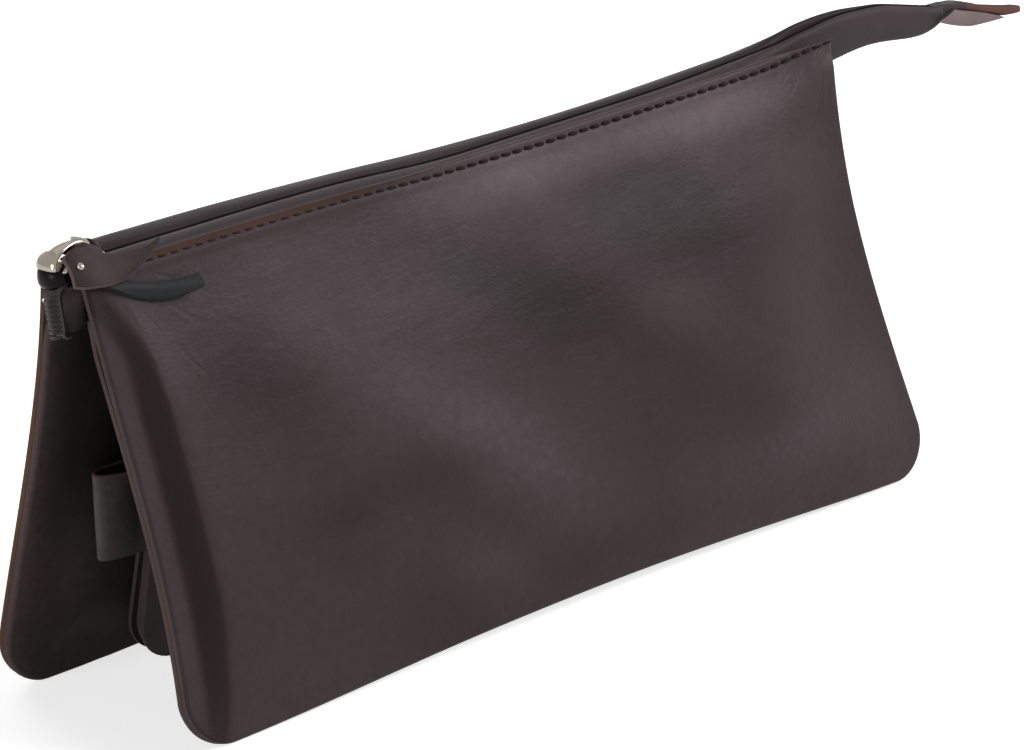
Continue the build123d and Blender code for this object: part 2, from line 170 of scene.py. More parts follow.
# ---- Lobe panels ----
# Each lobe is two pieces of dark waxed leather, 1.4 mm thick, glued and sewn round a flat rim and swollen
# between. The outer one laps over the zip's seam, and the inner one starts lower. Cut edges are brown to tan.
hinges = {joint["name"]: joint for joint in frame["joints"]}
seam_height = hinges["front_lobe_hinge"]["pos_m"][2] / mm
hinge_out = abs(hinges["front_lobe_hinge"]["pos_m"][1]) / mm
tilt = radians(14.4)
front, back = -1, 1
both_sides = ((front, "front"), (back, "back"))
leather, glue = 1.4, 0.05
stitch_drop = -0.5
leather_shine, leather_sheen, leather_tint = 0.07, 0.03, (1.0, 0.88, 1.0, 1)
pool_scale, fleck_scale, rub_scale, crease_scale = 22.0, 520, 60, 150
pebble_scale, cut_pebble_scale = 1500, 2600
pebble_depth, crease_depth = 0.12 * mm, 0.5 * mm
pool_share, fleck_tone, deep_tone = 0.16, 0.72, 0.9


def ease(share):
    """A smooth step: 0 up to a share of 0, 1 from a share of 1."""
    share = np.clip(share, 0, 1)
    return share * share * (3 - 2 * share)


def through(places, values):
    """A smooth curve through a few points, as a function."""
    bends = np.polyfit(places, values, len(places) - 1)
    return lambda place: np.polyval(bends, place)


def gently(places, values, reach=7.0):
    """A line through a few points with its corners rounded over the given reach, as a function."""
    steps = np.linspace(-reach, reach, 9)

    def line(place):
        return np.mean([np.interp(np.asarray(place) + step, places, values) for step in steps], axis=0)
    return line


def graded(count, crowding):
    """Shares from 0 to 1, closer together at both ends."""
    share = np.linspace(0, 1, count)
    return share - crowding * np.sin(2 * pi * share) / (2 * pi)


def unit(vectors):
    return vectors / np.linalg.norm(vectors, axis=1, keepdims=True)


def ring_turns(count):
    """Angles of evenly spaced points round a ring."""
    return np.linspace(0, 2 * pi, count, endpoint=False)


def from_middle(x):
    """A place along the frame's X, in millimetres from the lobes' middle."""
    return (x - lobe_middle) / mm


def on_pouch(x, y, z):
    """Points given in millimetres from the lobes' middle, in the frame's metres."""
    x, y, z = np.broadcast_arrays(x, y, z)
    return np.stack([x * mm + lobe_middle, y * mm, z * mm], -1)


def on_lobe(side, x, drop, out):
    """Points of a lobe: along the pouch, down from the seam, and out from where its two panels meet."""
    y = side * (hinge_out + drop * sin(tilt) + out * cos(tilt))
    return on_pouch(x, y, seam_height - drop * cos(tilt) + out * sin(tilt))


def piece(name, points, faces, finishes, finish_of, body, nodes, sharp, painted_light):
    """A mesh in place that rides on its body and stands for the solids that it dresses. It stays above 0."""
    mesh = bpy.data.meshes.new(name)
    points = np.array(points, float).reshape(-1, 3)
    points[:, 2] = np.maximum(points[:, 2], 0)
    mesh.from_pydata(points.tolist(), [], faces)
    for finish in finishes:
        mesh.materials.append(finish)
    mesh.polygons.foreach_set("material_index", np.asarray(finish_of, np.int32))
    shape = bmesh.new()
    shape.from_mesh(mesh)
    bmesh.ops.recalc_face_normals(shape, faces=shape.faces)
    shape.to_mesh(mesh)
    shape.free()
    mesh.polygons.foreach_set("use_smooth", np.ones(len(mesh.polygons), bool))
    mesh.set_sharp_from_angle(angle=radians(sharp))
    # A given attribute of painted light and shade is kept on the points for the finish to read.
    if painted_light is not None:
        mesh.attributes.new("painted_light", "FLOAT", "POINT").data.foreach_set("value", painted_light)
    made = placed(name, mesh)
    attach(made, body)
    if nodes:
        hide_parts(*nodes)


def sheet(name, face, flesh, finishes, body, nodes, bulge=0.12, skived=None, painted_light=None):
    """Leather with a face, a flesh side and a slightly rounded cut edge. Both sides are grids of points.

    skived marks the cells of the face that are cut down to a bevel, which take the last finish. The last
    argument says how much light or shade is painted on each point: higher values paint it paler, lower ones
    darker.
    """
    rows, columns = face.shape[:2]
    count = rows * columns
    index = np.arange(count).reshape(rows, columns)
    loop = np.concatenate([index[0, :-1], index[:-1, -1], index[-1, :0:-1], index[:0:-1, 0]])
    upper, lower = face.reshape(-1, 3), flesh.reshape(-1, 3)
    rim = (upper[loop] + lower[loop]) / 2
    along = np.roll(rim, -1, 0) - np.roll(rim, 1, 0)
    outward = np.cross(along, upper[loop] - lower[loop])
    outward /= np.linalg.norm(outward, axis=1, keepdims=True) + 1e-12
    away = np.sum(outward * (rim - rim.mean(0)), 1).sum()
    rim = rim + outward * np.sign(away) * bulge * mm
    cells = np.stack([index[:-1, :-1], index[:-1, 1:], index[1:, 1:], index[1:, :-1]], -1).reshape(-1, 4)
    ring = 2 * count + np.arange(len(loop))
    turned = np.roll(loop, -1)
    next_ring = np.roll(ring, -1)
    edge_cells = np.concatenate([np.stack([loop, ring, next_ring, turned], -1),
                                 np.stack([ring, loop + count, turned + count, next_ring], -1)])
    faces = np.concatenate([cells, cells[:, ::-1] + count, edge_cells])
    kinds = np.repeat([0, 1, 2], [len(cells), len(cells), len(edge_cells)])
    if skived is not None:
        kinds[:len(cells)] = np.where(skived[:-1, :-1].ravel(), len(finishes) - 1, 0)
    points = np.concatenate([upper, lower, rim])
    if painted_light is not None:
        painted_light = np.concatenate([painted_light.ravel(), painted_light.ravel(), painted_light.ravel()[loop]]).astype(np.float32)
    piece(name, points, faces.tolist(), finishes, kinds, body, nodes, 35, painted_light)


def cloud(tree, place, scale, detail, uneven=0.6, stretch=(1, 1, 1)):
    """A cloudy pattern over the places of a mesh."""
    stretched = shader(tree, "Mapping", {"Vector": place, "Scale": stretch}).outputs[0]
    settings = {"Vector": stretched, "Scale": scale, "Detail": detail, "Roughness": uneven}
    return shader(tree, "TexNoise", settings).outputs["Fac"]


def spread(tree, value, low, high, to_low, to_high):
    """A value's range from low to high, spread over another range."""
    settings = {"Value": value, "From Min": low, "From Max": high, "To Min": to_low, "To Max": to_high}
    return shader(tree, "MapRange", settings).outputs[0]


def bumped(tree, height, depth, strength, below=None):
    """The surface's direction over a pattern of bumps, on top of the bumps below it."""
    settings = {"Height": height, "Distance": depth, "Strength": strength}
    if below is not None:
        settings["Normal"] = below
    return shader(tree, "Bump", settings).outputs[0]


def dyed(tree, share, first, second):
    """Two colours mixed by a share. The mixer's colours are its sockets 6 and 7, and its mix is output 2."""
    mix = tree.nodes.new("ShaderNodeMix")
    mix.data_type = "RGBA"
    wire(tree, mix, {0: share, 6: first, 7: second})
    return mix.outputs[2]


def new_finish(name):
    """A new finish, its shader tree, and the places on a piece that its patterns follow."""
    finish = bpy.data.materials.new(name)
    finish.use_nodes = True
    tree = finish.node_tree
    return finish, tree, shader(tree, "TexCoord", {}).outputs["Object"]


def leather_finish(name, light, dark, rough=0.5, grain=0.3, creases=0.3, cut=False, reads_painted_light=False):
    """Waxed leather: two dyes that run into each other, a fine pebbled grain, and long soft creases."""
    finish, tree, place = new_finish(name)
    pools = spread(tree, cloud(tree, place, pool_scale, 3), 0.35, 0.65, 0, 1)
    # Where the finish reads the attribute of painted light and shade, it mixes the dyes by it: painted light
    # paler, painted shade darker.
    if reads_painted_light:
        painted_light = tree.nodes.new("ShaderNodeAttribute")
        painted_light.attribute_name = "painted_light"
        pools = reckoned(tree, "MULTIPLY_ADD", pools, pool_share, painted_light.outputs["Fac"])
    flecks = spread(tree, cloud(tree, place, fleck_scale, 4), 0.3, 0.7, fleck_tone, 1)
    deep = tuple(channel * deep_tone for channel in dark)
    speckled = dyed(tree, flecks, (*deep, 1), dyed(tree, pools, (*dark, 1), (*light, 1)))
    fineness = cut_pebble_scale if cut else pebble_scale
    pebbles = shader(tree, "TexVoronoi", {"Vector": place, "Scale": fineness})
    pebbles.feature = "SMOOTH_F1"
    normal = bumped(tree, pebbles.outputs["Distance"], pebble_depth, grain)
    if creases and not cut:
        pressed = cloud(tree, place, crease_scale, 7, stretch=(0.35, 1, 1))
        normal = bumped(tree, pressed, crease_depth, creases, normal)
    wire(tree, tree.nodes["Principled BSDF"], {
        "Base Color": speckled, "Specular IOR Level": leather_shine, "Specular Tint": leather_tint,
        "Sheen Weight": 0.0 if cut else leather_sheen, "Sheen Roughness": 0.4, "Normal": normal,
        "Roughness": spread(tree, cloud(tree, place, rub_scale, 5), 0.3, 0.7, rough - 0.06, rough + 0.07)})
    return finish


# The pale lavender dye paints the sheen of highlights and the dark dye paints shade. The attribute of painted
# light and shade mixes them, with random pools between.
outer_leather = leather_finish("outer_leather", (0.108, 0.078, 0.087), (0.024, 0.017, 0.017), 0.42,
                               creases=0.5, reads_painted_light=True)
# The inner leather's dark dye is nearly black: painted shade for the deep space between the lobes. The
# attribute of painted light and shade makes it paler where light reaches.
inner_leather_painted_shade = leather_finish("inner_leather_painted_shade", (0.130, 0.098, 0.094), (0.009, 0.007, 0.006), 0.7, reads_painted_light=True)
flesh_leather = leather_finish("flesh_side", (0.075, 0.052, 0.044), (0.05, 0.036, 0.032), 0.85, creases=0)
cut_edge = leather_finish("cut_edge", (0.088, 0.066, 0.064), (0.064, 0.048, 0.046), 0.7, cut=True)
tan_edge = leather_finish("tan_edge", (0.075, 0.039, 0.027), (0.042, 0.024, 0.019), 0.75, cut=True)
back_edge = leather_finish("back_edge", (0.13, 0.066, 0.036), (0.08, 0.042, 0.026), 0.75, cut=True)

lap, back_lap, divider_drop = 2.2, 1.2, 5.2
outer_grid, inner_grid = (420, 190), (200, 110)
seam_rise = gently((-95, -62, -45, -30, -15, 0, 15, 45, 70, 78, 86, 96),
                   (1.7, 1.7, 1.5, 1.2, 0.7, 0.5, 0.4, 0.65, 0.95, 1.4, 2.5, 3.2), 4.0)
lobe_foot = through((-90, -44, -3, 40, 90), (82.9, 81.6, 80.5, 81.1, 82.9))
front_shape = dict(left=through((0, 20, 50, 80), (94.4, 93.3, 92.2, 94.6)),
                   right=through((0, 25, 50, 80), (93.5, 90.5, 91.8, 95.8)), foot=lobe_foot, corner=9.0)
back_shape = dict(left=through((0, 22, 50, 76), (94.6, 93.6, 95.0, 96.6)),
                  right=through((0, 25, 50, 80), (94.4, 91.2, 92.6, 96.4)), foot=lobe_foot, corner=12.0)


def lobe_grid(shape, top_drop, columns, rows):
    """x and drop over a lobe, in rows and columns that follow its waisted sides and round corners."""
    across, down = graded(columns, 0.55), graded(rows, 0.6)
    corner, arc = shape["corner"], pi / 4

    def side(reach, sign):
        foot = shape["foot"](sign * (reach(75.0) - corner))
        straight = foot - corner - top_drop
        travelled = down * (straight + corner * arc)
        turn = np.clip((travelled - straight) / corner, 0, arc)
        centre = reach(foot - corner) - corner
        drop = top_drop + np.minimum(travelled, straight)
        reached = np.where(turn > 0, centre + corner * np.cos(turn), reach(drop))
        return np.stack([sign * reached, drop + corner * np.sin(turn)], -1), centre

    left, left_centre = side(shape["left"], -1)
    right, right_centre = side(shape["right"], 1)
    run = left_centre + right_centre
    travelled = across * (run + 2 * corner * arc) - corner * arc
    turn_left = np.clip(-travelled / corner, 0, arc)
    turn_right = np.clip((travelled - run) / corner, 0, arc)
    x = np.clip(travelled, 0, run) - left_centre - corner * np.sin(turn_left) + corner * np.sin(turn_right)
    drop = shape["foot"](np.clip(x, -left_centre, right_centre))
    drop = drop - corner * (1 - np.cos(turn_left)) - corner * (1 - np.cos(turn_right))
    bottom = np.stack([x, drop], -1)
    top = np.stack([left[0, 0] + (right[0, 0] - left[0, 0]) * across, np.full(columns, top_drop)], -1)
    u, v = across[None, :, None], down[:, None, None]
    grid = (1 - v) * top[None] + v * bottom[None] + (1 - u) * left[:, None] + u * right[:, None]
    grid = grid - (1 - u) * ((1 - v) * left[0] + v * left[-1]) - u * ((1 - v) * right[0] + v * right[-1])
    rim = np.concatenate([left, bottom, right[::-1]])
    return grid[..., 0], grid[..., 1], rim


def rim_distance(x, drop, rim):
    """How far each point lies from the lobe's outline, the open top apart."""
    steps = np.linspace(0, 1, 6, endpoint=False)[None, :, None]
    fine = (rim[:-1, None] * (1 - steps) + rim[1:, None] * steps).reshape(-1, 2)
    tree = KDTree(len(fine))
    for number, (a, b) in enumerate(fine):
        tree.insert((a, b, 0), number)
    tree.balance()
    flat = np.stack([x.ravel(), drop.ravel()], -1)
    return np.array([tree.find((a, b, 0))[2] for a, b in flat]).reshape(x.shape)


def dimple(x, drop, centre, reach, lean, rise):
    """A soft hollow or swelling: its middle, its two half widths, how it leans, and its height."""
    c, s = cos(radians(lean)), sin(radians(lean))
    along = ((x - centre[0]) * c + (drop - centre[1]) * s) / reach[0]
    across = (-(x - centre[0]) * s + (drop - centre[1]) * c) / reach[1]
    return rise * np.exp(-along ** 2 - across ** 2)


def crease(x, drop, start, bow, end, wide, depth):
    """One crease pressed into the leather along a bowed line, fading at both ends."""
    steps = np.linspace(0, 1, 24)
    line = [(1 - steps) ** 2 * start[k] + 2 * steps * (1 - steps) * bow[k] + steps ** 2 * end[k]
            for k in (0, 1)]
    low, high = np.min(line, 1) - 4 * wide, np.max(line, 1) + 4 * wide
    near = (x > low[0]) & (x < high[0]) & (drop > low[1]) & (drop < high[1])
    pressed = np.zeros_like(x)
    gaps = np.hypot(x[near][:, None] - line[0], drop[near][:, None] - line[1])
    nearest = gaps.argmin(1)
    fade = np.sin(pi * np.clip(steps[nearest], 0.02, 0.98)) ** 0.5
    gap = gaps.min(1) / wide
    raised_beside = 0.45 * np.exp(-(gap - 1.7) ** 2 / 0.8)
    pressed[near] = depth * fade * (np.exp(-gap ** 2) - raised_beside)
    return -pressed


def outer_swell(from_left, from_right, from_foot, x, drop):
    """Height of an outer panel: a steep shoulder behind the closed end's rim, gentler ones and a swell."""
    sides = ease(from_right / 38) * ease(from_foot / 26)
    shoulder = 2.6 * ease((from_left - 1.2 - 2.2 * ease(drop / 16)) / 5.8) * sides * ease(drop / 30 + 0.12)
    swell = 2.0 * ease(from_left / 48) * sides * ease(drop / 36)
    return shoulder + swell + 0.75 * ease(drop / 9) * ease((x + 40) / 40) * ease((from_right - 2) / 20)


def bevel_line(x):
    """Where the top edge's bevel starts: near the stitches at the closed end, at the lap's top later."""
    return np.interp(x, (-95, -84, -78, -45, -12, 0), (-lap, -lap, -0.6, -0.6, -1.8, -lap))


def lifted(side, x, drop, points):
    """The front lobe's seam isn't quite straight: both its ends are pulled up towards the zip."""
    if side == front:
        points[..., 2] += mm * seam_rise(x) * ease((30 - drop) / 30)
        points[..., 1] -= mm * 0.3 * seam_rise(x) * ease((2 - drop) / 4)
    return points


def outer_panel(side, label, shape, folds, lines, light_patches):
    x, drop, rim = lobe_grid(shape, -lap if side == front else -back_lap, *outer_grid)
    distance = rim_distance(x, drop, rim)
    narrower = 0.45 * ease((5 - x) / 30) + 1.5 * ease((x - 74) / 18)
    drop = drop + narrower * np.clip((-0.6 - drop) / 1.6, 0, 1) * (side == front)
    inside = ease((distance - 1.0) / 8) * ease((drop + 1) / 8)
    from_left = x + shape["left"](drop)
    rise = outer_swell(from_left, shape["right"](drop) - x, shape["foot"](x) - drop, x, drop)
    flank = 1.5 + 5.3 * ease((drop - 2) / 14)
    # Painted light and shade: a dark band of painted shade along the shoulder behind the closed end's rim,
    # and patches of painted light and painted shade over the panel.
    painted_light = 0.21 - 0.62 * np.exp(-((from_left - flank) / 2.5) ** 2) * ease((88 - drop) / 14)
    for patch in light_patches:
        painted_light = painted_light + dimple(x, drop, *patch)
    for fold in folds:
        rise = rise + dimple(x, drop, *fold) * inside
    for line in lines:
        rise = rise + crease(x, drop, *line)
    rounded = 0.35 * (1 - np.clip(np.minimum(distance, drop + lap) / 0.7, 0, 1)) ** 2
    rounded = rounded + 0.8 * ease((x - 87) / 6) * ease((5 - drop) / 5)
    groove = 0.18 * np.exp(-((drop - stitch_drop) / 0.7) ** 2)
    bevel_foot = bevel_line(x)
    cut = bevel_foot + lap
    bevel = 1.15 * np.clip((bevel_foot - drop) / (cut + 0.01), 0, 1) * ease(cut / 0.6)
    face = on_lobe(side, x, drop, glue + leather + rise - np.maximum(rounded, bevel) - groove)
    flesh = on_lobe(side, x, drop, glue + rise)
    finishes = (outer_leather, flesh_leather, cut_edge if side == front else back_edge, tan_edge)
    sheet(f"{label}_outer_leather", lifted(side, x, drop, face), lifted(side, x, drop, flesh), finishes,
          f"{label}_lobe", [f"{label}_panel"], skived=drop < bevel_foot, painted_light=painted_light)


def inner_panel(side, label, shape):
    x, drop, rim = lobe_grid(shape, divider_drop, *inner_grid)
    distance = rim_distance(x, drop, rim)
    x = x * (1 - 0.006 * ease((13 - drop) / 8))
    rise = 3.0 * ease((distance - 3.0) / 14.0)
    rounded = 0.3 * (1 - np.clip(distance / 0.7, 0, 1)) ** 2
    # Painted light: paler round the rim and towards the foot, where light reaches between the lobes. Nearly
    # black painted shade in the middle.
    painted_light = 0.8 * np.exp(-(distance / 4.2) ** 2) + 0.32 * ease((drop - 36) / 26) - 0.06
    sheet(f"{label}_inner_leather_painted_shade", on_lobe(side, x, drop, -glue - leather - rise + rounded),
          on_lobe(side, x, drop, -glue - rise), (inner_leather_painted_shade, flesh_leather, cut_edge),
          f"{label}_lobe", [f"{label}_inner_panel"], painted_light=painted_light)


front_folds = [
    ((-24, 47), (34, 12), 34, 0.9), ((38, 13), (22, 11), 38, -0.3), ((-6, 22), (30, 9), 30, -0.45),
    ((-66, 27), (16, 12), 50, -0.45), ((56, 68), (26, 9), -4, 0.6), ((-44, 52), (16, 7), 5, -0.35),
    ((34, 38), (14, 8), 28, 0.45), ((-21, 72), (18, 6), 25, 0.35), ((72, 22), (12, 8), 10, 0.35)]
# Patches of painted light (above 0) and painted shade (below 0): middle, two half widths, lean and strength.
front_light_patches = [
    ((28, 2), (44, 5), 0, 0.75), ((62, 5), (22, 5), -4, 0.25), ((-86, 12), (11, 5), 60, 0.25),
    ((-19, 45), (30, 8), 37, 0.42), ((-22, 69), (15, 6), 28, 0.25), ((60, 67), (20, 6), -4, 0.2),
    ((33, 35), (10, 6), 30, 0.2), ((73, 17), (9, 5), 10, 0.12), ((-6, 21), (30, 11), 30, -0.32),
    ((38, 15), (24, 12), 38, -0.38), ((-65, 25), (14, 8), 35, -0.2), ((-28, 49), (16, 5), 5, -0.16),
    ((-52, 52), (11, 6), 0, -0.2), ((80, 45), (12, 22), 0, -0.15), ((10, 74), (30, 6), 0, -0.12),
    ((40, 55), (22, 9), 20, -0.15)]
back_folds = [((10, 50), (40, 18), -10, 1.0), ((-40, 30), (24, 12), 20, -0.7),
              ((55, 30), (20, 14), -20, -0.6)]
# The back lobe's patches of painted light and painted shade, given the same way.
back_light_patches = [((0, 4), (60, 6), 0, 0.3), ((30, 48), (40, 12), -20, 0.3), ((-40, 30), (30, 12), 20, -0.2)]
wrinkles = np.random.default_rng(7)


def wrinkle_fan(count, corner, spread, reach, turn, wide, depth):
    """Fine wrinkles that run away from a corner of the lobe, each a little bowed."""
    fan = []
    for heading in np.linspace(*turn, count) + wrinkles.uniform(-4, 4, count):
        heading = radians(heading)
        near, far = wrinkles.uniform(*spread), wrinkles.uniform(*reach)
        bow = wrinkles.uniform(-0.14, 0.14) * far
        start = (corner[0] + near * cos(heading), corner[1] + near * sin(heading))
        end = (corner[0] + (near + far) * cos(heading), corner[1] + (near + far) * sin(heading))
        middle = ((start[0] + end[0]) / 2 - bow * sin(heading), (start[1] + end[1]) / 2 + bow * cos(heading))
        half_wide, deep = wrinkles.uniform(0.7, 1.3) * wide, wrinkles.uniform(0.5, 1.2) * depth
        fan.append((start, middle, end, half_wide, deep))
    return fan


front_creases = wrinkle_fan(11, (-92, -4), (8, 24), (5, 13), (25, 80), 0.36, 0.045)
front_creases += wrinkle_fan(6, (-80, 14), (4, 16), (5, 10), (20, 75), 0.34, 0.035)
back_creases = wrinkle_fan(8, (94, -5), (4, 10), (6, 12), (112, 168), 0.4, 0.07)
front_creases += back_creases
front_creases += [((x, -1.6), (x + 0.3, 1.6), (x - 0.2, 4.6 + 1.8 * sin(x)), 0.28, 0.05)
                  for x in np.concatenate([np.arange(29, 52, 1.7), np.arange(62, 84, 2.9)])]
outer_panel(front, "front", front_shape, front_folds, front_creases, front_light_patches)
inner_panel(front, "front", front_shape)
outer_panel(back, "back", back_shape, back_folds, back_creases, back_light_patches)
inner_panel(back, "back", back_shape)


# ---- Seam stitches ----
# Waxed dark thread in one row along each top seam. Each stitch dips into its two holes.
thread_finish = leather_finish("waxed_thread", (0.016, 0.010, 0.010), (0.009, 0.006, 0.007), 0.6, creases=0)
stitch_pitch, stitch_long, thread_half = 2.85, 2.15, 0.34
first_stitch, last_stitch = -31, 32


def tubes(name, grids, finishes, body, nodes, sharp=40, kinds=None, shut=True, painted_light=None):
    """Tubes through rings of points, as one mesh. kinds gives each side's finish. A tube that isn't shut at
    its ends joins up with its own start.
    """
    faces, finish_of, start = [], [], 0
    for rings in grids:
        count, sides = len(rings), len(rings[0])
        for k in range(count - shut):
            near, far = start + k * sides, start + (k + 1) % count * sides
            for n in range(sides):
                m = (n + 1) % sides
                faces.append((near + n, near + m, far + m, far + n))
            finish_of += kinds or [0] * sides
        last = start + (count - 1) * sides
        if shut:
            faces += [tuple(range(start, start + sides))[::-1], tuple(range(last, last + sides))]
            finish_of += [max(kinds or [0])] * 2
        start = last + sides
    points = np.concatenate([np.reshape(rings, (-1, 3)) for rings in grids])
    piece(name, points, faces, finishes, finish_of, body, nodes, sharp, painted_light)


def thread_runs(name, runs, finish, body, nodes):
    """Many short runs of thread as one mesh. Each run is a line of points with a thickness at each."""
    grids = []
    turn = np.arange(8) * 2 * pi / 8
    for line, half in runs:
        along = unit(np.gradient(line, axis=0))
        across = unit(np.cross(along, (0.3, 0.9, 0.31)))
        other = np.cross(along, across)
        half = np.broadcast_to(half, len(line))[:, None, None] * mm
        grids.append(line[:, None] + half * (across[:, None] * np.cos(turn)[None, :, None]
                                             + other[:, None] * np.sin(turn)[None, :, None]))
    tubes(name, grids, (finish,), body, nodes, 60)


def seam_row(side, label):
    runs = []
    steps = np.linspace(-1, 1, 9)
    for number in range(first_stitch, last_stitch + 1):
        middle = number * stitch_pitch
        x = middle + steps * stitch_long / 2
        drop = stitch_drop + 0.10 * steps
        sunk = 0.30 * ease((10 - middle) / 60)
        out = glue + leather - 0.14 - sunk + 0.26 * (1 - steps ** 4)
        half = thread_half * (0.55 + 0.45 * np.sqrt(1 - 0.9 * steps ** 2)) * (1 - sunk)
        runs.append((lifted(side, x, drop, on_lobe(side, x, drop, out)), half))
    thread_runs(f"{label}_seam_thread", runs, thread_finish, f"{label}_lobe", [f"{label}_seam_stitches"])


for side, label in both_sides:
    seam_row(side, label)


# ---- Facings and tail ----
# Strips of thinner leather beside the zip. Past its open end they stand up against each other as a fin, with
# the back one a little higher. The back strip is turned over behind the slit and makes a low ridge.
facing_finish = leather_finish("facing_leather", (0.034, 0.022, 0.025), (0.025, 0.017, 0.019))
front_strip_finish = leather_finish("front_facing_leather", (0.057, 0.044, 0.047), (0.043, 0.034, 0.037))
# The slit's walls and the strips' undersides take a nearly black finish: painted shade for the dark line of
# the slit.
slit_shade = leather_finish("slit_painted_shade", (0.012, 0.009, 0.009), (0.008, 0.006, 0.006), 0.8, creases=0)
facing_start, fin_end = -85.4, 131
slit_line = gently((-88, -60, -42, -27, -14, -5, 10, 50, 65, 76),
                   (84.6, 84.5, 84.35, 83.9, 83.0, 82.5, 82.65, 82.95, 83.6, 84.3))
crest_line = gently((-88, -79, -60, -40, -22, -8, 5, 20, 35, 50, 70),
                    (85.7, 85.55, 85.3, 84.7, 83.9, 83.1, 82.7, 82.35, 82.35, 82.65, 83.3))
fin_back_top = gently((70, 76, 84, 90, 96, 102, 113, 118, 128),
                      (85.0, 85.6, 86.1, 86.9, 87.25, 87.15, 85.95, 84.8, 82.4), 2.0)
fin_foot = through((94, 107, 115, 124, 127, 130), (78.0, 78.8, 78.3, 77.5, 77.9, 79.0))


def facing(side, label):
    places = np.concatenate([np.linspace(facing_start, 66, 150), np.linspace(67, fin_end, 130)])
    rings = []
    for x in places:
        slit, crest, top = slit_line(x), crest_line(x), fin_back_top(min(x, 128.5))
        upright = ease((x - 66) / 24)
        front_top = top - 0.15 - 0.85 * ease((114 - x) / 20) - 0.5 * ease((100 - x) / 10)
        foot = fin_foot(np.clip(x, 94, 131))
        middle = (foot + front_top) / 2
        if side == front:
            lying = [(-0.55, slit - 1.2), (-0.2, slit - 1.0), (-0.2, slit - 0.5), (-0.5, slit - 0.3),
                     (-1.4, slit - 0.4), (-2.4, slit - 0.7), (-3.2, slit - 1.1), (-3.3, slit - 1.4),
                     (-2.6, slit - 1.5), (-1.4, slit - 1.4)]
            standing = [(-0.08, foot + 0.4), (-0.08, middle), (-0.08, front_top - 0.3), (-0.75, front_top),
                        (-1.45, front_top - 0.35), (-1.45, front_top - 1.6), (-1.52, middle),
                        (-1.45, foot + 0.5), (-1.1, foot), (-0.16, foot)]
        else:
            lying = [(0.55, slit - 1.2), (0.16, slit - 1.0), (0.12, slit - 0.05), (0.3, slit + 0.1),
                     (1.8, slit + 0.35 + 0.25 * (crest - slit)), (3.4, slit + 0.3 + 0.62 * (crest - slit)),
                     (4.4, crest + 0.05), (4.95, crest - 0.15), (5.25, crest - 0.9), (3.2, slit - 1.1)]
            standing = [(0.2, foot), (0.08, foot + 0.4), (0.08, front_top + 0.05), (0.09, front_top + 0.2),
                        (0.14, (front_top + top) / 2), (0.25, top - 0.3), (0.5, top - 0.08), (0.85, top),
                        (1.4, top - 0.4), (1.5, foot + 0.5)]
        mix = (1 - upright) * np.array(lying) + upright * np.array(standing)
        rings.append(on_pouch(x, mix[:, 0], mix[:, 1]))
    face = front_strip_finish if side == front else facing_finish
    tubes(f"{label}_facing_strip", [rings], (face, slit_shade), "zip_top", [f"{label}_facing"],
          70, [1, 1, 0, 0, 0, 0, 0, 0, 1, 1])


for side, label in both_sides:
    facing(side, label)


# ---- Tail tab ----
# A short leather strip folded over the fin's end. Its upper half lies flat and shows a brown cut edge, and
# the lower half is turned out and shows its pale flesh side.
tab_finish = leather_finish("tab_leather", (0.070, 0.046, 0.046), (0.050, 0.034, 0.034), 0.55)
tab_cut = leather_finish("tab_cut", (0.15, 0.068, 0.050), (0.095, 0.044, 0.034), 0.6, cut=True)
pale_flesh = leather_finish("pale_flesh", (0.24, 0.19, 0.185), (0.16, 0.12, 0.12), 0.85, creases=0)


def tab_part(name, start, end, finishes, kinds, nodes):
    """The part of the folded strip between two places: a flattened ring that narrows behind the fin."""
    stations = (128.4, 130.5, 132, 133.6, 135, 137.5, 139.8, 143, 147.2, 151, 152.9)
    middles = (80.75, 80.84, 80.83, 81.1, 81.07, 80.43, 79.5, 78.6, 77.4, 76.8, 76.6)
    halves = (1.8, 1.64, 1.43, 1.0, 0.85, 0.9, 0.8, 0.9, 1.1, 0.87, 0.65)
    outline = np.array([(-1, -0.6), (-1, 0.6), (-0.85, 0.95), (0, 1), (0.85, 0.95), (1, 0.6), (1, -0.6),
                        (0.85, -1), (-0.85, -1)])
    rings = []
    for x in np.linspace(start, end, 26):
        middle, thick = gently(stations, middles, 0.8)(x), gently(stations, halves, 0.8)(x)
        half = np.interp(x, (128, 130.5, 134, 140, 153), (1.2, 1.5, 1.75, 2.3, 2.1))
        turn = radians(-8) * ease((x - 134) / 10)
        y, z = outline[:, 0] * half, outline[:, 1] * thick
        slant = 0.5 * ease((x - 150.5) / 2.4) * outline[:, 0]
        height = middle + y * sin(turn) + z * cos(turn)
        rings.append(on_pouch(x + slant, y * cos(turn) - z * sin(turn), height))
    tubes(name, [rings], finishes, "zip_top", nodes, 50, kinds)


def tail_flap():
    """The lower half, turned out under the front edge of the upper one."""
    u, v = np.meshgrid(np.linspace(0, 1, 14), np.linspace(0, 1, 9))
    top_x, top_z = 132.6 + 15.0 * u, 81.0 - 4.8 * u ** 0.85 + 0.5 * np.sin(pi * u)
    foot_x, foot_z = 127.4 + 9.6 * u, 79.7 - 2.95 * u - 0.25 * np.sin(u * pi)
    x, z = top_x + (foot_x - top_x) * v, top_z + (foot_z - top_z) * v
    y = -2.35 - 0.5 * v - 0.25 * np.sin(v * pi)
    flesh = on_pouch(x, y, z)
    face = on_pouch(x, y + 0.9, z)
    sheet("tail_tab_flap", flesh, face, (pale_flesh, tab_finish, tab_finish), "zip_top", ())


tab_part("tail_tab_neck", 127.6, 136.6, (front_strip_finish,), None, ())
tab_part("tail_tab_fold", 135.0, 152.9, (tab_finish, tab_cut), [1, 0, 0, 0, 0, 1, 0, 0, 0], ["tail_tab"])
tail_flap()


